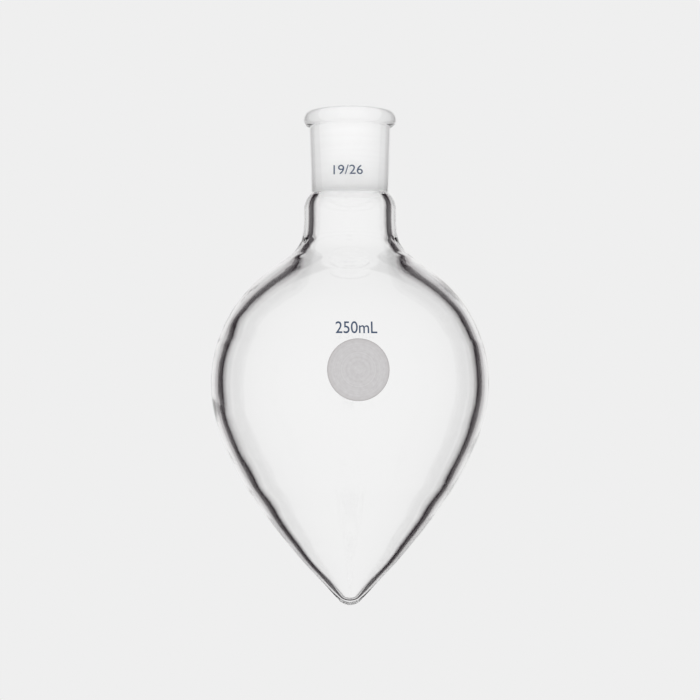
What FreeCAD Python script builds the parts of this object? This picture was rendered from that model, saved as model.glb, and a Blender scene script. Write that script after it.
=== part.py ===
import FreeCAD, Part
import math
import os
import Sketcher

# Heart-shaped flask of clear glass, blown in one piece, with a ground socket at its mouth.
# Millimetres and degrees. Both outlines are drawn from the rim downwards and turned about Z.
# The origin is the middle of the straight neck, where a clamp holds the flask.

SIZES = [
    ("bead_diameter", 27.4, "rounded ring at the rim"),
    ("bead_height", 4.7, "rim to the ring's underside"),
    ("bead_top_radius", 2.6, "rounding of the ring's upper edge"),
    ("bead_lower_radius", 2.0, "rounding of the ring's lower edge"),
    ("joint_top_diameter", 24.0, "outside of the joint tube, just under the ring"),
    ("joint_end_diameter", 22.7, "outside of the joint tube, where the neck begins"),
    ("joint_length", 24.5, "rim to the end of the joint tube"),
    ("neck_diameter", 27.3, "outside of the straight neck"),
    ("neck_edge_radius", 7.0, "rounding from the joint tube out to the neck"),
    ("flare_radius", 6.5, "hollow curve from the neck out to the slope above the body, outside"),
    ("slope_angle", 55.0, "how far above the widest part the round form goes on, up to the slope"),
    ("body_diameter", 82.0, "widest part of the body, outside"),
    ("body_centre_depth", 80.7, "rim to the widest part"),
    ("body_arc_angle", 22.7, "how far below the widest part the round form goes on"),
    ("lower_radius", 118.5, "long curve between the round form and the cone, outside"),
    ("cone_angle", 85.0, "full angle of the cone at the bottom"),
    ("tip_radius", 4.5, "rounding of the tip, outside"),
    ("ground_mouth_diameter", 18.8, "wide end of the ground socket, at the rim"),
    ("ground_taper", 0.1, "loss of diameter for each millimetre of depth"),
    ("ground_length", 24.6, "rim to the narrow end of the ground socket"),
    ("mouth_edge_radius", 0.6, "rounding of the mouth's inner edge"),
    ("seam_radius", 5.0, "curve inside from the socket's end out to the neck's bore"),
    ("neck_wall", 2.9, "glass of the neck"),
    ("inner_flare_radius", 9.8, "curve from the neck's bore out to the slope, inside"),
    ("body_wall", 3.7, "glass of the round form"),
    ("cone_wall", 1.9, "glass of the cone, thinner because it is blown out further"),
    ("inner_tip_radius", 2.9, "rounding of the tip, inside"),
]
SIZE = {name: value for name, value, note in SIZES}


def make_sheet(doc):
    """The sheet of driving dimensions."""
    sheet = doc.addObject("Spreadsheet::Sheet", "sizes")
    for row, (name, value, note) in enumerate(SIZES, start=1):
        sheet.set(f"A{row}", name)
        sheet.set(f"B{row}", str(value))
        sheet.set(f"C{row}", note)
        sheet.setAlias(f"B{row}", name)


def point(x, y):
    return FreeCAD.Vector(x, y, 0)


class Outline:
    """Half an outline in an upright sketch: lines and arcs that follow each other from the rim down.

    Each piece meets the next smoothly, but for the pieces named as corners.
    """

    def __init__(self, body, name):
        plane = next(f for f in body.Origin.OriginFeatures if f.Role == "XZ_Plane")
        self.sketch = body.newObject("Sketcher::SketchObject", name)
        self.sketch.AttachmentSupport = [(plane, "")]
        self.sketch.MapMode = "FlatFace"
        self.pieces = []
        self.corners = []

    def add(self, shape, top_end):
        """Adds a piece. top_end is 1 where the piece starts at its end nearer the rim, else 2."""
        index = self.sketch.addGeometry(shape, False)
        self.pieces.append((index, top_end, 3 - top_end))
        return index

    def line(self, top, bottom):
        return self.add(Part.LineSegment(point(*top), point(*bottom)), 1)

    def line_up(self, bottom, top):
        return self.add(Part.LineSegment(point(*bottom), point(*top)), 2)

    def arc(self, centre, radius, first, last, top_end):
        """An arc that runs anticlockwise from one angle to another, in degrees."""
        circle = Part.Circle(point(*centre), FreeCAD.Vector(0, 0, 1), radius)
        shape = Part.ArcOfCircle(circle, math.radians(first), math.radians(last))
        return self.add(shape, top_end)

    def rule(self, *parts):
        return self.sketch.addConstraint(Sketcher.Constraint(*parts))

    def drive(self, name, formula, value, *parts):
        """A dimension that takes its value from the sheet. value is what the formula gives at first."""
        index = self.rule(*parts, value)
        self.sketch.renameConstraint(index, name)
        self.sketch.setExpression(f"Constraints.{name}", formula)

    def across(self, name, formula, value, piece, end):
        """Distance of a piece's end from the axis."""
        self.drive(name, formula, value, "DistanceX", -1, 1, piece, end)

    def down(self, name, formula, value, piece, end):
        """Depth of a piece's end below the rim."""
        self.drive(name, formula, value, "DistanceY", piece, end, -1, 1)

    def radius(self, name, formula, value, piece):
        self.drive(name, formula, value, "Radius", piece)

    def join_pieces(self):
        """Joins each piece to the next, and the two ends to each other at the middle of the rim."""
        for above, below in zip(self.pieces, self.pieces[1:]):
            kind = "Coincident" if above[0] in self.corners else "Tangent"
            self.rule(kind, above[0], above[2], below[0], below[1])
        rim, axis = self.pieces[0][0], self.pieces[-1][0]
        self.rule("Coincident", rim, 1, -1, 1)
        self.rule("Coincident", axis, 2, rim, 1)
        self.rule("Horizontal", rim)
        self.rule("Vertical", axis)


def draw_body(outline, neck_top, neck, flare, round_form, lower, tip):
    """Neck, flare, slope, round form, long curve, cone and tip, each tangent to the next.

    neck_top is the height where the straight neck starts. The others are radii, as (formula, value).
    """
    centre = -SIZE["body_centre_depth"]
    above = math.radians(SIZE["slope_angle"])
    below = math.radians(SIZE["body_arc_angle"])
    half = math.radians(SIZE["cone_angle"] / 2)
    flare_x = neck[1] + flare[1]
    flare_y = centre + (round_form[1] + flare[1] - flare_x * math.cos(above)) / math.sin(above)
    slope_top = (flare_x - flare[1] * math.cos(above), flare_y - flare[1] * math.sin(above))
    slope_end = (round_form[1] * math.cos(above), centre + round_form[1] * math.sin(above))
    lower_x = (round_form[1] - lower[1]) * math.cos(below)
    lower_y = centre - (round_form[1] - lower[1]) * math.sin(below)
    cone_top = (lower_x + lower[1] * math.cos(half), lower_y - lower[1] * math.sin(half))
    tip_x = tip[1] * math.cos(half)
    tip_y = cone_top[1] - (cone_top[0] - tip_x) / math.tan(half)
    tip_centre = tip_y + tip[1] * math.sin(half)

    straight = outline.line((neck[1], neck_top), (neck[1], flare_y))
    hollow = outline.arc((flare_x, flare_y), flare[1], 180, 180 + SIZE["slope_angle"], 1)
    outline.line(slope_top, slope_end)
    globe = outline.arc((0, centre), round_form[1], -SIZE["body_arc_angle"], SIZE["slope_angle"], 2)
    curve = outline.arc(
        (lower_x, lower_y), lower[1], -SIZE["cone_angle"] / 2, -SIZE["body_arc_angle"], 2
    )
    cone = outline.line_up((tip_x, tip_y), cone_top)
    rounded = outline.arc((0, tip_centre), tip[1], -90, -SIZE["cone_angle"] / 2, 2)
    outline.line((0, tip_centre - tip[1]), (0, 0))
    outline.corners.append(rounded)
    outline.join_pieces()

    outline.rule("Vertical", straight)
    outline.rule("PointOnObject", globe, 3, -2)
    outline.rule("PointOnObject", rounded, 3, -2)
    outline.across("neck", *neck, straight, 1)
    outline.radius("flare", *flare, hollow)
    outline.radius("round_form", *round_form, globe)
    outline.down("centre", "sizes.body_centre_depth", -centre, globe, 3)
    outline.across(
        "round_form_top", f"({round_form[0]}) * cos(sizes.slope_angle)", slope_end[0], globe, 2
    )
    outline.across(
        "round_form_end",
        f"({round_form[0]}) * cos(sizes.body_arc_angle)",
        round_form[1] * math.cos(below),
        globe,
        1,
    )
    outline.radius("lower", *lower, curve)
    outline.drive("cone", "90 - sizes.cone_angle / 2", math.pi / 2 - half, "Angle", cone)
    outline.radius("tip", *tip, rounded)


def draw_outside(body):
    """The outer outline: ring, joint tube, neck and body."""
    outline = Outline(body, "outside_outline")
    bead = SIZE["bead_diameter"] / 2
    top = SIZE["bead_top_radius"]
    low = SIZE["bead_lower_radius"]
    under = -SIZE["bead_height"]
    joint_top = SIZE["joint_top_diameter"] / 2
    joint_end = SIZE["joint_end_diameter"] / 2
    joint_foot = -SIZE["joint_length"]
    neck = SIZE["neck_diameter"] / 2
    edge = SIZE["neck_edge_radius"]
    edge_x = neck - edge
    edge_rise = math.sqrt(edge**2 - (joint_end - edge_x) ** 2)
    edge_start = math.degrees(math.atan2(edge_rise, joint_end - edge_x))

    outline.line((0, 0), (bead - top, 0))
    ring_top = outline.arc((bead - top, -top), top, 0, 90, 2)
    side = outline.line((bead, -top), (bead, under + low))
    ring_low = outline.arc((bead - low, under + low), low, -90, 0, 2)
    underside = outline.line((bead - low, under), (joint_top, under))
    joint = outline.line((joint_top, under), (joint_end, joint_foot))
    neck_edge = outline.arc((edge_x, joint_foot - edge_rise), edge, 0, edge_start, 2)
    outline.corners = [underside, joint]
    draw_body(
        outline,
        joint_foot - edge_rise,
        ("sizes.neck_diameter / 2", neck),
        ("sizes.flare_radius", SIZE["flare_radius"]),
        ("sizes.body_diameter / 2", SIZE["body_diameter"] / 2),
        ("sizes.lower_radius", SIZE["lower_radius"]),
        ("sizes.tip_radius", SIZE["tip_radius"]),
    )

    outline.rule("Vertical", side)
    outline.rule("Horizontal", underside)
    outline.across("bead", "sizes.bead_diameter / 2", bead, side, 1)
    outline.down("bead_height", "sizes.bead_height", -under, underside, 2)
    outline.radius("ring_top", "sizes.bead_top_radius", top, ring_top)
    outline.radius("ring_low", "sizes.bead_lower_radius", low, ring_low)
    outline.across("joint_top", "sizes.joint_top_diameter / 2", joint_top, joint, 1)
    outline.across("joint_end", "sizes.joint_end_diameter / 2", joint_end, joint, 2)
    outline.down("joint_length", "sizes.joint_length", -joint_foot, joint, 2)
    outline.radius("neck_edge", "sizes.neck_edge_radius", edge, neck_edge)
    return outline.sketch


def draw_inside(body):
    """The inner outline: ground socket, seam, neck bore and the hollow of the body."""
    outline = Outline(body, "inside_outline")
    mouth = SIZE["ground_mouth_diameter"] / 2
    slope = SIZE["ground_taper"] / 2
    narrow = mouth - slope * SIZE["ground_length"]
    bore = SIZE["neck_diameter"] / 2 - SIZE["neck_wall"]
    seam = SIZE["seam_radius"]
    seam_rise = math.sqrt(seam**2 - (narrow - bore + seam) ** 2)
    seam_centre = -SIZE["ground_length"] - seam_rise
    seam_top = math.degrees(math.atan2(seam_rise, narrow - bore + seam))
    bend = math.radians(SIZE["cone_angle"] / 2 - SIZE["body_arc_angle"])
    thinning = (SIZE["body_wall"] - SIZE["cone_wall"]) / (1 - math.cos(bend))

    rim = outline.line((0, 0), (mouth, 0))
    ground = outline.line_up((narrow, -SIZE["ground_length"]), (mouth, 0))
    widening = outline.arc((bore - seam, seam_centre), seam, 0, seam_top, 2)
    outline.corners = [rim, ground]
    draw_body(
        outline,
        seam_centre,
        ("sizes.neck_diameter / 2 - sizes.neck_wall", bore),
        ("sizes.inner_flare_radius", SIZE["inner_flare_radius"]),
        ("sizes.body_diameter / 2 - sizes.body_wall", SIZE["body_diameter"] / 2 - SIZE["body_wall"]),
        (
            "sizes.lower_radius - sizes.body_wall + (sizes.body_wall - sizes.cone_wall)"
            " / (1 - cos(sizes.cone_angle / 2 - sizes.body_arc_angle))",
            SIZE["lower_radius"] - SIZE["body_wall"] + thinning,
        ),
        ("sizes.inner_tip_radius", SIZE["inner_tip_radius"]),
    )

    outline.across("mouth", "sizes.ground_mouth_diameter / 2", mouth, ground, 2)
    outline.across(
        "narrow_end",
        "(sizes.ground_mouth_diameter - sizes.ground_taper * sizes.ground_length) / 2",
        narrow,
        ground,
        1,
    )
    outline.down("ground_length", "sizes.ground_length", SIZE["ground_length"], ground, 1)
    outline.radius("seam", "sizes.seam_radius", seam, widening)
    return outline.sketch


def turn_about_axis(body, kind, name, sketch):
    """A full turn of a sketch about the flask's axis."""
    feature = body.newObject(kind, name)
    feature.Profile = sketch
    feature.ReferenceAxis = (sketch, ["V_Axis"])
    feature.Angle = 360
    return feature


def round_mouth(body, base):
    """Rounds the inner edge of the mouth, the circle at the rim that the ground socket starts from."""
    circle = math.pi * SIZE["ground_mouth_diameter"]
    edges = [
        f"Edge{number}"
        for number, edge in enumerate(base.Shape.Edges, start=1)
        if max(abs(edge.BoundBox.ZMin), abs(edge.BoundBox.ZMax)) < 1e-4
        and abs(edge.Length - circle) < 1e-4
    ]
    rounding = body.newObject("PartDesign::Fillet", "mouth_edge")
    rounding.Base = (base, edges)
    rounding.setExpression("Radius", "sizes.mouth_edge_radius")


def check(doc):
    """Stops with a message if any object of the document failed."""
    doc.recompute()
    for item in doc.Objects:
        if "Invalid" in item.State or "Error" in item.State:
            raise RuntimeError(f"{item.Name} failed: {item.State}")


def make_flask(doc):
    """The flask, with its origin in the middle of the straight neck."""
    body = doc.addObject("PartDesign::Body", "flask")
    body.Label = "flask"
    outside = turn_about_axis(body, "PartDesign::Revolution", "outside", draw_outside(body))
    check(doc)
    full = outside.Shape.Volume

    inside = turn_about_axis(body, "PartDesign::Groove", "inside", draw_inside(body))
    check(doc)
    if not 0.1 * full < inside.Shape.Volume < 0.5 * full:
        raise RuntimeError("the inside wasn't cut out")
    print(f"glass {inside.Shape.Volume / 1000:.1f} cm3 of {full / 1000:.1f} cm3 in the outline")

    round_mouth(body, inside)
    neck_top = (
        "sizes.joint_length + sqrt(sizes.neck_edge_radius^2"
        " - (sizes.joint_end_diameter / 2 - sizes.neck_diameter / 2 + sizes.neck_edge_radius)^2)"
    )
    neck_end = (
        "sizes.body_centre_depth - (sizes.body_diameter / 2 + sizes.flare_radius"
        " - (sizes.neck_diameter / 2 + sizes.flare_radius) * cos(sizes.slope_angle))"
        " / sin(sizes.slope_angle)"
    )
    body.setExpression("Placement.Base.z", f"({neck_top} + {neck_end}) / 2")
    check(doc)
    return body


def main():
    doc = FreeCAD.newDocument("heart_flask")
    make_sheet(doc)
    flask = make_flask(doc)
    shape = flask.Shape
    if shape.isNull() or not shape.isValid() or len(shape.Solids) != 1:
        raise RuntimeError("the flask isn't one valid solid")
    box = shape.BoundBox
    print(f"rim at {box.ZMax:.3f}, tip at {box.ZMin:.3f}, width {box.XLength:.3f}")
    os.makedirs("parts", exist_ok=True)
    shape.exportStep(f"parts/{flask.Label}.step")


main()
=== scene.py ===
import math

import bmesh
import bpy
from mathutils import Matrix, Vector, noise


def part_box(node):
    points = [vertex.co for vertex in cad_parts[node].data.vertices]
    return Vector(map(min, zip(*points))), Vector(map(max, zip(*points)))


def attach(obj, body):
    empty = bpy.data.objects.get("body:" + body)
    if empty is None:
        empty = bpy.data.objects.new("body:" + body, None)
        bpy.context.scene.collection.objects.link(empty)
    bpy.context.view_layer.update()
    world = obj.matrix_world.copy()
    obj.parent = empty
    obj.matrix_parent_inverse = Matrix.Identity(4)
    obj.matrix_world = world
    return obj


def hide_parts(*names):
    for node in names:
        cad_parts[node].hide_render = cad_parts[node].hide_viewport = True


# Heart-shaped flask of clear blown glass with a ground joint, a marking spot and two size marks.
# The glass is turned from the same outline as the solid, with the unevenness of hand work added.
# Lengths are in millimetres and heights are measured up from the rim, until at() turns a place
# into metres in the frame. Turn is the angle about the axis: 0 faces the camera, 90 is to its right.

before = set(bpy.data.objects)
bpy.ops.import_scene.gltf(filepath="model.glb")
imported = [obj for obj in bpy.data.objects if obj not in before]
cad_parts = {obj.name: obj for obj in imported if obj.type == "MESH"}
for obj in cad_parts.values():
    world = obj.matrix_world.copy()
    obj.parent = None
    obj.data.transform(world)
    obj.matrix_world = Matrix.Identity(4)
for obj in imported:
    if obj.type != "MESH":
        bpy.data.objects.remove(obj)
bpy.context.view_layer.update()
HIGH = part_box("flask")[1]

MM = 0.001
RIM = HIGH.z
ENAMEL_ROOM = 0.07  # the glass stays this far inside the solid, so that the enamel on it does too
BODY_RADIUS = HIGH.x / MM - ENAMEL_ROOM

# The outline, as in the solid
BEAD_RADIUS = 13.7
BEAD_HEIGHT = 4.7
BEAD_TOP_ROUNDING = 2.6
BEAD_LOWER_ROUNDING = 2.0
JOINT_TOP_RADIUS = 12.0
JOINT_END_RADIUS = 11.35
JOINT_LENGTH = 24.5
NECK_RADIUS = 13.65
NECK_EDGE_ROUNDING = 7.0
FLARE_RADIUS = 6.5
SLOPE_ANGLE = 55.0
BODY_CENTRE = -80.7
BODY_ARC_ANGLE = 22.7
LOWER_RADIUS = 118.5
CONE_HALF_ANGLE = 42.5
TIP_RADIUS = 4.5
MOUTH_RADIUS = 9.4
MOUTH_ROUNDING = 0.6
GROUND_SLOPE = 0.05
GROUND_LENGTH = 24.6
SEAM_RADIUS = 5.0
NECK_WALL = 2.9
INNER_FLARE_RADIUS = 9.8
BODY_WALL = 3.7
CONE_WALL = 1.9
INNER_TIP_RADIUS = 2.9

# How finely the glass is turned, and how the grinding overruns the socket by some of those steps
SIDES = 200
LONG_STEP = 0.8
FINE_STEP = 0.35
GROUND_OVERRUN = 5

# The weld of neck and body: the depths between which its bends are melted smooth, how often they are
# eased, and the depths of the bead and the groove
WELD_TOP = 34.0
WELD_END = 70.0
WELD_EASING = 30
WELD_BEAD = 39.8
WELD_GROOVE = 45.6

# The enamel marks: where their middles are, in degrees and millimetres, and their sizes
CAPACITY = ("250mL", 2.72, 67.07, (11.83, 3.48), 0.005)
JOINT_SIZE = ("19/26", -2.90, 18.77, (8.77, 2.73), 0.0)
MARK_STEP = 0.6
MARK_GAP = 0.008
MARK_THICKNESS = 0.03
SPOT_TURN = 3.38
SPOT_DEPTH = 79.16
SPOT_RADIUS = 8.87
SPOT_RINGS = 24
SPOT_SIDES = 128
SPOT_MAP = "flat"

# The photographed view
CAMERA_DISTANCE = 0.882
CAMERA_DROP = 0.13014
CAMERA_PITCH = 3.841
CAMERA_LENS = 154.16
SENSOR_WIDTH = 36.0
PALE_GREY = 0.8632


def at(radius, turn, height):
    """A place in metres, from a radius, a turn in radians and a height above the rim."""
    return Vector((
        radius * math.sin(turn) * MM,
        -radius * math.cos(turn) * MM,
        RIM + height * MM,
    ))


class Outline:
    """Half an outline, as (radius, height) points that follow each other from the rim down."""

    def __init__(self, radius, height):
        self.points = [(radius, height)]

    def line(self, radius, height, step):
        start = self.points[-1]
        count = max(1, math.ceil(math.dist(start, (radius, height)) / step))
        for i in range(1, count + 1):
            share = i / count
            self.points.append((
                start[0] + (radius - start[0]) * share,
                start[1] + (height - start[1]) * share,
            ))

    def arc(self, centre, size, first, last, step):
        """An arc about centre from one angle to another, in degrees. Its first point is there already."""
        count = max(2, math.ceil(size * abs(math.radians(last - first)) / step))
        for i in range(1, count + 1):
            angle = math.radians(first + (last - first) * i / count)
            self.points.append((centre[0] + size * math.cos(angle), centre[1] + size * math.sin(angle)))


def add_body(outline, neck, flare, round_form, lower, tip):
    """Neck, flare, slope, round form, long curve, cone and tip, each tangent to the next."""
    above = math.radians(SLOPE_ANGLE)
    below = math.radians(BODY_ARC_ANGLE)
    half = math.radians(CONE_HALF_ANGLE)
    flare_x = neck + flare
    flare_y = BODY_CENTRE + (round_form + flare - flare_x * math.cos(above)) / math.sin(above)
    lower_x = (round_form - lower) * math.cos(below)
    lower_y = BODY_CENTRE - (round_form - lower) * math.sin(below)
    cone_x = lower_x + lower * math.cos(half)
    cone_y = lower_y - lower * math.sin(half)
    tip_x = tip * math.cos(half)
    tip_y = cone_y - (cone_x - tip_x) / math.tan(half)

    outline.line(neck, flare_y, LONG_STEP)
    outline.arc((flare_x, flare_y), flare, 180, 180 + SLOPE_ANGLE, LONG_STEP)
    outline.line(round_form * math.cos(above), BODY_CENTRE + round_form * math.sin(above), LONG_STEP)
    outline.arc((0, BODY_CENTRE), round_form, SLOPE_ANGLE, -BODY_ARC_ANGLE, LONG_STEP)
    outline.arc((lower_x, lower_y), lower, -BODY_ARC_ANGLE, -CONE_HALF_ANGLE, LONG_STEP)
    outline.line(tip_x, tip_y, LONG_STEP)
    outline.arc((0, tip_y + tip * math.sin(half)), tip, -CONE_HALF_ANGLE, -90, FINE_STEP)


def eased(points):
    """The outline with its bends around the weld melted smooth, as a flame leaves them."""
    for _ in range(WELD_EASING):
        points = points[:1] + [
            ((above[0] + 2 * here[0] + below[0]) / 4, (above[1] + 2 * here[1] + below[1]) / 4)
            if WELD_TOP < -here[1] < WELD_END else here
            for above, here, below in zip(points, points[1:], points[2:])
        ] + points[-1:]
    return points


def outside_outline():
    """Rim, ring, joint tube, neck and body, from the mouth's edge to the tip."""
    top, low = BEAD_TOP_ROUNDING, BEAD_LOWER_ROUNDING
    outline = Outline(MOUTH_RADIUS + MOUTH_ROUNDING, 0)
    outline.line(BEAD_RADIUS - top, 0, FINE_STEP)
    outline.arc((BEAD_RADIUS - top, -top), top, 90, 0, FINE_STEP)
    outline.line(BEAD_RADIUS, -BEAD_HEIGHT + low, FINE_STEP)
    outline.arc((BEAD_RADIUS - low, -BEAD_HEIGHT + low), low, 0, -90, FINE_STEP)
    outline.line(JOINT_TOP_RADIUS, -BEAD_HEIGHT, FINE_STEP)
    outline.line(JOINT_END_RADIUS, -JOINT_LENGTH, LONG_STEP)
    edge_x = NECK_RADIUS - NECK_EDGE_ROUNDING
    edge_rise = math.sqrt(NECK_EDGE_ROUNDING**2 - (JOINT_END_RADIUS - edge_x) ** 2)
    outline.arc(
        (edge_x, -JOINT_LENGTH - edge_rise), NECK_EDGE_ROUNDING,
        math.degrees(math.atan2(edge_rise, JOINT_END_RADIUS - edge_x)), 0, FINE_STEP,
    )
    add_body(outline, NECK_RADIUS, FLARE_RADIUS, BODY_RADIUS, LOWER_RADIUS, TIP_RADIUS)
    return eased(outline.points)


def inside_outline():
    """Mouth's edge, ground socket, seam, bore and hollow, from the rim to the bottom of the hollow.

    Also returns how many of the points belong to the ground surface.
    """
    narrow = MOUTH_RADIUS - GROUND_SLOPE * GROUND_LENGTH
    bore = NECK_RADIUS - NECK_WALL
    seam_x = bore - SEAM_RADIUS
    seam_rise = math.sqrt(SEAM_RADIUS**2 - (narrow - seam_x) ** 2)
    seam_y = -GROUND_LENGTH - seam_rise
    bend = math.radians(CONE_HALF_ANGLE - BODY_ARC_ANGLE)
    thinning = (BODY_WALL - CONE_WALL) / (1 - math.cos(bend))

    outline = Outline(MOUTH_RADIUS + MOUTH_ROUNDING, 0)
    outline.arc((MOUTH_RADIUS + MOUTH_ROUNDING, -MOUTH_ROUNDING), MOUTH_ROUNDING, 90, 180, FINE_STEP)
    outline.line(narrow, -GROUND_LENGTH, LONG_STEP)
    ground_points = len(outline.points) + GROUND_OVERRUN
    outline.arc(
        (seam_x, seam_y), SEAM_RADIUS,
        math.degrees(math.atan2(seam_rise, narrow - seam_x)), 0, FINE_STEP,
    )
    add_body(
        outline, bore, INNER_FLARE_RADIUS, BODY_RADIUS - BODY_WALL,
        LOWER_RADIUS - BODY_WALL + thinning, INNER_TIP_RADIUS,
    )
    return eased(outline.points), ground_points


def normals(points):
    """At each point of an outline, the unit vector across it that points away from the axis."""
    found = []
    for i in range(len(points)):
        before = points[max(i - 1, 0)]
        after = points[min(i + 1, len(points) - 1)]
        length = math.dist(before, after)
        found.append(((before[1] - after[1]) / length, (after[0] - before[0]) / length))
    return found


def bump(value, middle, width):
    """1 at the middle, falling smoothly to nothing about two widths away."""
    return math.exp(-(((value - middle) / width) ** 2))


def ripple(turn, height, around, along, seed):
    """Smooth unevenness between about -1 and 1, with no seam where the turn closes."""
    return 2 * noise.noise(Vector((
        around * math.cos(turn) + seed,
        around * math.sin(turn) - seed,
        height / along,
    )))


# Where the hand-blown glass departs from the drawn one, in millimetres, at each depth: how far the outside
# lies out, and how much the wall is thinner on the left and on the right
UNEVENNESS = [
    (46, 0.0, 0.0, 0.0),
    (62, 0.0, 0.4, 0.5),
    (68, 0.0, 0.2, 0.5),
    (76, 0.0, 0.3, 0.3),
    (84, 0.0, 0.3, 0.3),
    (91, 0.0, 0.7, 0.3),
    (101, 0.1, 0.6, 0.5),
    (110, 0.1, 0.3, 0.4),
    (119, -0.15, 0.0, 0.1),
    (127, -0.15, 0.0, 0.0),
    (134, 0.1, 0.0, 0.0),
    (140, 0.0, 0.0, 0.0),
]


def unevenness(depth):
    """The departures at one depth, eased from one depth of the list to the next."""
    for above, below in zip(UNEVENNESS, UNEVENNESS[1:]):
        if above[0] <= depth <= below[0]:
            share = (1 - math.cos(math.pi * (depth - above[0]) / (below[0] - above[0]))) / 2
            return [start + (end - start) * share for start, end in zip(above[1:], below[1:])]
    return [0.0, 0.0, 0.0]


def weld_ridges(turn, depth):
    """The weld of neck and body: a lumpy bead, and a lumpy groove below it, strongest at the sides."""
    bead = bump(depth, WELD_BEAD + 0.4 * ripple(turn, 0, 2, 1, 7), 0.6)
    groove = bump(depth, WELD_GROOVE + 0.5 * ripple(turn, 0, 2, 1, 11), 0.8)
    lumps = 0.7 + 0.6 * ripple(turn, depth, 5, 1.5, 5)
    return math.sin(turn) ** 4 * (1.6 * bead - 0.8 * groove) * lumps


def outside_push(turn, height):
    """How far the hand-worked outside lies out from the drawn one, in millimetres."""
    outside = unevenness(-height)[0]
    return outside + 0.05 * weld_ridges(turn, -height)


def inside_push(turn, height):
    """How far the hand-worked inside lies out from the drawn one, in millimetres."""
    outside, left, right = unevenness(-height)
    thinner = left + (right - left) * (1 + math.sin(turn)) / 2
    return outside + thinner - 0.2 * weld_ridges(turn, -height)


def ring_of(mesh, point, normal, push):
    """One ring of vertices about the axis."""
    ring = []
    for i in range(SIDES):
        turn = 2 * math.pi * i / SIDES
        out = push(turn, point[1])
        ring.append(mesh.verts.new(at(point[0] + normal[0] * out, turn, point[1] + normal[1] * out)))
    return ring


def join_rings(mesh, one, two, slot):
    """A band of faces between two rings."""
    for i in range(SIDES):
        face = mesh.faces.new((one[i], one[i - 1], two[i - 1], two[i]))
        face.material_index = slot
        face.smooth = True


def close_ring(mesh, ring, height, slot, down):
    """A fan from a ring to a point on the axis."""
    middle = mesh.verts.new(at(0, 0, height))
    for i in range(SIDES):
        corners = (ring[i], ring[i - 1], middle) if down else (ring[i - 1], ring[i], middle)
        face = mesh.faces.new(corners)
        face.material_index = slot
        face.smooth = True


def make_glass(clear, ground):
    """The glass of the whole flask as one closed skin, outside and inside."""
    outside = outside_outline()
    inside, ground_points = inside_outline()
    mesh = bmesh.new()
    outside_rings = [
        ring_of(mesh, point, normal, outside_push)
        for point, normal in zip(outside[:-1], normals(outside))
    ]
    inside_rings = [outside_rings[0]] + [
        ring_of(mesh, point, normal, inside_push)
        for point, normal in list(zip(inside, normals(inside)))[1:-1]
    ]
    for one, two in zip(outside_rings, outside_rings[1:]):
        join_rings(mesh, one, two, 0)
    close_ring(mesh, outside_rings[-1], outside[-1][1], 0, True)
    for i, (one, two) in enumerate(zip(inside_rings, inside_rings[1:])):
        join_rings(mesh, two, one, 1 if i + 1 < ground_points else 0)
    close_ring(mesh, inside_rings[-1], inside[-1][1], 0, False)

    data = bpy.data.meshes.new("flask_glass")
    mesh.to_mesh(data)
    mesh.free()
    data.materials.append(clear)
    data.materials.append(ground)
    glass = bpy.data.objects.new("flask_glass", data)
    bpy.context.scene.collection.objects.link(glass)
    return glass


def on_glass(outline, x, depth, turn, lift):
    """A place on the outside of the glass, x millimetres round from a turn and lifted off the surface."""
    for (radius, height), (next_radius, next_height) in zip(outline, outline[1:]):
        if next_height <= -depth <= height and height > next_height:
            share = (height + depth) / (height - next_height)
            surface = radius + (next_radius - radius) * share
            out = math.atan2(height - next_height, next_radius - radius)
            break
    around = turn + x / surface
    push = outside_push(around, -depth) + lift
    return at(surface + push * math.sin(out), around, -depth + push * math.cos(out))


def make_words(name, words, turn, depth, size, thickening, material):
    """Generic size marks as a thin layer of enamel that follows the glass."""
    curve = bpy.data.curves.new(name, "FONT")
    curve.body = words
    curve.extrude = 0.5
    curve.offset = thickening
    lettering = bpy.data.objects.new(name, curve)
    mesh = bmesh.new()
    mesh.from_mesh(bpy.data.meshes.new_from_object(lettering))
    bpy.data.objects.remove(lettering)
    bpy.data.curves.remove(curve)

    low = [min(vertex.co[i] for vertex in mesh.verts) for i in range(2)]
    high = [max(vertex.co[i] for vertex in mesh.verts) for i in range(2)]
    for vertex in mesh.verts:
        for i in range(2):
            vertex.co[i] = ((vertex.co[i] - low[i]) / (high[i] - low[i]) - 0.5) * size[i]
    bmesh.ops.remove_doubles(mesh, verts=mesh.verts, dist=0.0005)
    cuts = int(size[0] / MARK_STEP)
    for i in range(1, cuts):
        bmesh.ops.bisect_plane(
            mesh, geom=mesh.verts[:] + mesh.edges[:] + mesh.faces[:],
            plane_co=(size[0] * (i / cuts - 0.5), 0, 0), plane_no=(1, 0, 0),
        )
    outline = outside_outline()
    for vertex in mesh.verts:
        lift = MARK_GAP + (vertex.co.z + 0.5) * MARK_THICKNESS
        vertex.co = on_glass(outline, vertex.co.x, depth - vertex.co.y, math.radians(turn), lift)

    data = bpy.data.meshes.new(name)
    mesh.to_mesh(data)
    mesh.free()
    data.materials.append(material)
    mark = bpy.data.objects.new(name, data)
    bpy.context.scene.collection.objects.link(mark)
    return mark


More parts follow.
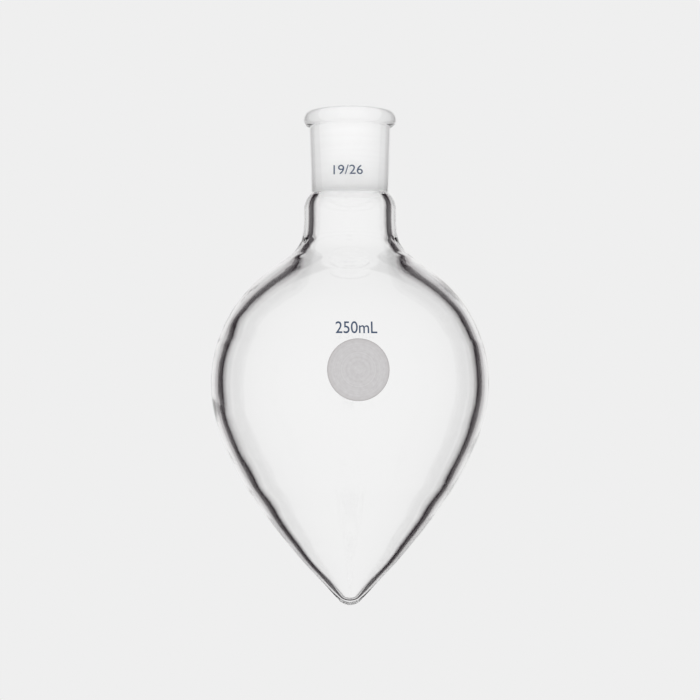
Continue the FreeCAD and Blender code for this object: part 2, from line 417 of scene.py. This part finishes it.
def make_spot(material):
    """The marking spot: a round patch of enamel with a slightly raised rim."""
    outline = outside_outline()
    mesh = bmesh.new()
    flat = mesh.loops.layers.uv.new(SPOT_MAP)
    radii = [SPOT_RADIUS * i / SPOT_RINGS for i in range(1, SPOT_RINGS + 1)]
    turn = math.radians(SPOT_TURN)
    place = {}

    def patch(lift_of):
        """One face of the patch, from its middle to its edge."""
        middle = mesh.verts.new(on_glass(outline, 0, SPOT_DEPTH, turn, lift_of(0)))
        place[middle] = (0, 0)
        rings = []
        for radius in radii:
            ring = []
            for i in range(SPOT_SIDES):
                x = radius * math.cos(math.tau * i / SPOT_SIDES)
                y = radius * math.sin(math.tau * i / SPOT_SIDES)
                vertex = mesh.verts.new(on_glass(outline, x, SPOT_DEPTH - y, turn, lift_of(radius)))
                place[vertex] = (x, y)
                ring.append(vertex)
            rings.append(ring)
        return middle, rings

    front, front_rings = patch(
        lambda radius: MARK_GAP + MARK_THICKNESS * (1 + bump(radius, SPOT_RADIUS - 0.25, 0.2)),
    )
    back, back_rings = patch(lambda radius: MARK_GAP)
    for i in range(SPOT_SIDES):
        mesh.faces.new((front, front_rings[0][i - 1], front_rings[0][i]))
        mesh.faces.new((back, back_rings[0][i], back_rings[0][i - 1]))
        mesh.faces.new((
            front_rings[-1][i], front_rings[-1][i - 1], back_rings[-1][i - 1], back_rings[-1][i],
        ))
        for one, two in zip(front_rings, front_rings[1:]):
            mesh.faces.new((one[i], one[i - 1], two[i - 1], two[i]))
        for one, two in zip(back_rings, back_rings[1:]):
            mesh.faces.new((two[i], two[i - 1], one[i - 1], one[i]))
    for face in mesh.faces:
        face.smooth = True
        for loop in face.loops:
            loop[flat].uv = place[loop.vert]

    data = bpy.data.meshes.new("marking_spot")
    mesh.to_mesh(data)
    mesh.free()
    data.materials.append(material)
    spot = bpy.data.objects.new("marking_spot", data)
    bpy.context.scene.collection.objects.link(spot)
    return spot


def new_material(name):
    """A material with its node tree, its links and its main shader."""
    material = bpy.data.materials.new(name)
    material.use_nodes = True
    tree = material.node_tree
    shader = tree.nodes["Principled BSDF"]
    return material, tree, shader


def clear_glass():
    """Clear borosilicate glass, with the faint waves of blown work."""
    material, tree, shader = new_material("clear_glass")
    shader.inputs["Base Color"].default_value = (1, 1, 1, 1)
    shader.inputs["Roughness"].default_value = 0.0
    shader.inputs["IOR"].default_value = 1.473
    shader.inputs["Transmission Weight"].default_value = 1.0
    place = tree.nodes.new("ShaderNodeTexCoord")
    waves = tree.nodes.new("ShaderNodeTexNoise")
    waves.inputs["Scale"].default_value = 90.0
    waves.inputs["Detail"].default_value = 2.0
    waves.inputs["Distortion"].default_value = 0.6
    relief = tree.nodes.new("ShaderNodeBump")
    relief.inputs["Strength"].default_value = 0.02
    relief.inputs["Distance"].default_value = 0.001
    tree.links.new(place.outputs["Object"], waves.inputs["Vector"])
    tree.links.new(waves.outputs["Fac"], relief.inputs["Height"])
    tree.links.new(relief.outputs["Normal"], shader.inputs["Normal"])
    return material


def ground_glass():
    """The ground inside of the socket: white and rough, with the fine rings left by the grinding."""
    material, tree, shader = new_material("ground_glass")
    shader.inputs["Roughness"].default_value = 0.6
    shader.inputs["IOR"].default_value = 1.473
    shader.inputs["Transmission Weight"].default_value = 0.1
    place = tree.nodes.new("ShaderNodeTexCoord")
    squash = tree.nodes.new("ShaderNodeMapping")
    squash.inputs["Scale"].default_value = (40, 40, 1500)
    rings = tree.nodes.new("ShaderNodeTexNoise")
    rings.inputs["Scale"].default_value = 1.0
    rings.inputs["Detail"].default_value = 4.0
    tone = tree.nodes.new("ShaderNodeValToRGB")
    tone.color_ramp.elements[0].position = 0.3
    tone.color_ramp.elements[0].color = (0.975, 0.975, 0.975, 1)
    tone.color_ramp.elements[1].position = 0.7
    tone.color_ramp.elements[1].color = (1, 1, 1, 1)
    relief = tree.nodes.new("ShaderNodeBump")
    relief.inputs["Strength"].default_value = 0.3
    relief.inputs["Distance"].default_value = 0.0001
    tree.links.new(place.outputs["Object"], squash.inputs["Vector"])
    tree.links.new(squash.outputs["Vector"], rings.inputs["Vector"])
    tree.links.new(rings.outputs["Fac"], tone.inputs["Fac"])
    tree.links.new(tone.outputs["Color"], shader.inputs["Base Color"])
    tree.links.new(rings.outputs["Fac"], relief.inputs["Height"])
    tree.links.new(relief.outputs["Normal"], shader.inputs["Normal"])
    return material


def mark_enamel():
    """The slate-blue enamel of the size marks, a little thinner in places."""
    material, tree, shader = new_material("blue_enamel")
    shader.inputs["Roughness"].default_value = 0.4
    place = tree.nodes.new("ShaderNodeTexCoord")
    patches = tree.nodes.new("ShaderNodeTexNoise")
    patches.inputs["Scale"].default_value = 900.0
    patches.inputs["Detail"].default_value = 3.0
    tone = tree.nodes.new("ShaderNodeValToRGB")
    tone.color_ramp.elements[0].position = 0.3
    tone.color_ramp.elements[0].color = (0.018, 0.042, 0.095, 1)
    tone.color_ramp.elements[1].position = 0.7
    tone.color_ramp.elements[1].color = (0.035, 0.07, 0.14, 1)
    tree.links.new(place.outputs["Object"], patches.inputs["Vector"])
    tree.links.new(patches.outputs["Fac"], tone.inputs["Fac"])
    tree.links.new(tone.outputs["Color"], shader.inputs["Base Color"])
    return material


def spot_enamel():
    """The grey matt enamel of the marking spot, with faint brush lines round its middle and painted shade
    darkening it towards its raised rim.
    """
    material, tree, shader = new_material("grey_enamel")
    shader.inputs["Roughness"].default_value = 0.75
    flat = tree.nodes.new("ShaderNodeUVMap")
    flat.uv_map = SPOT_MAP
    from_middle = tree.nodes.new("ShaderNodeVectorMath")
    from_middle.operation = "LENGTH"
    lines = tree.nodes.new("ShaderNodeTexNoise")
    lines.noise_dimensions = "1D"
    lines.inputs["Scale"].default_value = 1.6
    lines.inputs["Detail"].default_value = 3.0
    cloud = tree.nodes.new("ShaderNodeTexNoise")
    cloud.inputs["Scale"].default_value = 0.9
    cloud.inputs["Detail"].default_value = 5.0
    both = tree.nodes.new("ShaderNodeMix")
    tone = tree.nodes.new("ShaderNodeValToRGB")
    tone.color_ramp.elements[0].position = 0.35
    tone.color_ramp.elements[0].color = (0.515, 0.50, 0.505, 1)
    tone.color_ramp.elements[1].position = 0.65
    tone.color_ramp.elements[1].color = (0.60, 0.59, 0.595, 1)
    # Painted shade: over the last 0.9 mm to its edge the enamel is mixed towards a darker grey, standing in
    # for the shade at the spot's raised rim.
    rim = tree.nodes.new("ShaderNodeMapRange")
    rim.inputs["From Min"].default_value = SPOT_RADIUS - 0.9
    rim.inputs["From Max"].default_value = SPOT_RADIUS
    rim.inputs["To Max"].default_value = 0.8
    rim_painted_shade = tree.nodes.new("ShaderNodeMix")
    rim_painted_shade.data_type = "RGBA"
    rim_painted_shade.inputs["B"].default_value = (0.45, 0.43, 0.43, 1)
    relief = tree.nodes.new("ShaderNodeBump")
    relief.inputs["Strength"].default_value = 0.15
    relief.inputs["Distance"].default_value = 0.0001
    tree.links.new(flat.outputs["UV"], from_middle.inputs[0])
    tree.links.new(from_middle.outputs["Value"], lines.inputs["W"])
    tree.links.new(flat.outputs["UV"], cloud.inputs["Vector"])
    tree.links.new(lines.outputs["Fac"], both.inputs["A"])
    tree.links.new(cloud.outputs["Fac"], both.inputs["B"])
    tree.links.new(both.outputs["Result"], tone.inputs["Fac"])
    tree.links.new(from_middle.outputs["Value"], rim.inputs["Value"])
    tree.links.new(rim.outputs["Result"], rim_painted_shade.inputs["Factor"])
    tree.links.new(tone.outputs["Color"], rim_painted_shade.inputs["A"])
    tree.links.new(rim_painted_shade.outputs["Result"], shader.inputs["Base Color"])
    tree.links.new(lines.outputs["Fac"], relief.inputs["Height"])
    tree.links.new(relief.outputs["Normal"], shader.inputs["Normal"])
    return material


def emitter(name, colour):
    """A material that only glows."""
    material = bpy.data.materials.new(name)
    material.use_nodes = True
    tree = material.node_tree
    tree.nodes.remove(tree.nodes["Principled BSDF"])
    glow = tree.nodes.new("ShaderNodeEmission")
    glow.inputs["Color"].default_value = (*colour, 1)
    tree.links.new(glow.outputs["Emission"], tree.nodes["Material Output"].inputs["Surface"])
    return material


def make_backdrop():
    """A pale round floor that turns up into a pale wall all round."""
    floor_height = -2.2
    cove = 0.5
    radius = 2.6
    wall_top = 2.6
    outline = [(0.001, floor_height), (radius - cove, floor_height)]
    steps = 12
    for i in range(1, steps + 1):
        angle = math.radians(-90 + 90 * i / steps)
        outline.append((
            radius - cove + cove * math.cos(angle),
            floor_height + cove + cove * math.sin(angle),
        ))
    outline.append((radius, wall_top))
    mesh = bmesh.new()
    sides = 96
    rings = [
        [
            mesh.verts.new((r * math.sin(math.tau * i / sides), -r * math.cos(math.tau * i / sides), z))
            for i in range(sides)
        ]
        for r, z in outline
    ]
    for one, two in zip(rings, rings[1:]):
        for i in range(sides):
            mesh.faces.new((one[i], one[i - 1], two[i - 1], two[i])).smooth = True
    data = bpy.data.meshes.new("backdrop")
    mesh.to_mesh(data)
    mesh.free()
    data.materials.append(emitter("pale_backdrop", (PALE_GREY,) * 3))
    backdrop = bpy.data.objects.new("backdrop", data)
    bpy.context.scene.collection.objects.link(backdrop)


# The light tent: how many degrees from the middle of the view each zone reaches, and how it glows. Beyond
# them it grows brighter from the sides to the front.
TENT_ZONES = [
    (23.0, (0.863, 0.863, 0.863)),
    (26.5, (0.69, 0.67, 0.675)),
    (30.5, (0.50, 0.48, 0.485)),
    (33.5, (0.12, 0.11, 0.115)),
    (57.0, (0.025, 0.019, 0.023)),
]
TENT_RADIUS = 1.8
TENT_STEP = 5.0
SIDE_GLOW = 0.65
FRONT_GLOW = 1.12
FRONT_RISE = 2.2


def tent_zones():
    """The zones of the list, and then many small ones that grow brighter towards the camera."""
    zones = list(TENT_ZONES)
    start = zones[-1][0]
    count = round((180 - start) / TENT_STEP)
    for i in range(1, count + 1):
        share = i / count
        glow = SIDE_GLOW + (FRONT_GLOW - SIDE_GLOW) * (1 - (1 - share) ** FRONT_RISE)
        zones.append((start + (180 - start) * share, (glow, glow, glow)))
    return zones


def make_tent(camera):
    """The light tent that the glass sees: bright behind it, dark cards all round, bright in front."""
    all_zones = tent_zones()
    angles = [0.05]
    zones = []
    for zone, (edge, glow) in enumerate(all_zones):
        start = angles[-1]
        count = math.ceil((edge - start) / TENT_STEP)
        for i in range(1, count + 1):
            angles.append(start + (edge - start) * i / count)
            zones.append(zone)
    mesh = bmesh.new()
    sides = 96
    rings = []
    for angle in angles:
        out = TENT_RADIUS * math.sin(math.radians(angle))
        along = -TENT_RADIUS * math.cos(math.radians(angle))
        rings.append([
            mesh.verts.new((
                out * math.cos(math.tau * i / sides),
                out * math.sin(math.tau * i / sides),
                along,
            ))
            for i in range(sides)
        ])
    for zone, one, two in zip(zones, rings, rings[1:]):
        for i in range(sides):
            mesh.faces.new((one[i], one[i - 1], two[i - 1], two[i])).material_index = zone
    data = bpy.data.meshes.new("light_tent")
    mesh.to_mesh(data)
    mesh.free()
    for zone, (edge, colour) in enumerate(all_zones):
        data.materials.append(emitter(f"tent_zone_{zone + 1}", colour))
    hang_from_camera("light_tent", data, camera)


def hang_from_camera(name, data, camera):
    """A light round the flask that stays put to the camera, as when a flask is turned in a fixed studio."""
    light = bpy.data.objects.new(name, data)
    bpy.context.scene.collection.objects.link(light)
    light.parent = camera
    light.location = (0, 0, -CAMERA_DISTANCE)
    light.visible_camera = False


def make_camera():
    """The photograph's view: a little below the middle and looking up at the rim."""
    data = bpy.data.cameras.new("camera")
    data.lens = CAMERA_LENS
    data.sensor_width = SENSOR_WIDTH
    camera = bpy.data.objects.new("camera", data)
    camera.location = (0, -CAMERA_DISTANCE, RIM - CAMERA_DROP)
    camera.rotation_euler = (math.radians(90 + CAMERA_PITCH), 0, 0)
    bpy.context.scene.collection.objects.link(camera)
    bpy.context.scene.camera = camera
    return camera


def set_up_scene():
    """Plain colours and enough bounces for light to find its way through thick glass."""
    scene = bpy.context.scene
    scene.view_settings.view_transform = "Standard"
    scene.cycles.max_bounces = 32
    scene.cycles.transmission_bounces = 32
    scene.cycles.glossy_bounces = 16
    scene.cycles.diffuse_bounces = 16
    scene.cycles.blur_glossy = 0.0
    world = bpy.data.worlds.new("pale_room")
    world.use_nodes = True
    world.node_tree.nodes["Background"].inputs["Color"].default_value = (PALE_GREY,) * 3 + (1,)
    scene.world = world


def main():
    set_up_scene()
    camera = make_camera()
    make_backdrop()
    make_tent(camera)
    glass = make_glass(clear_glass(), ground_glass())
    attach(glass, "root")
    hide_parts("flask")
    blue = mark_enamel()
    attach(make_words("capacity_mark", *CAPACITY, blue), "root")
    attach(make_words("joint_size_mark", *JOINT_SIZE, blue), "root")
    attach(make_spot(spot_enamel()), "root")


main()
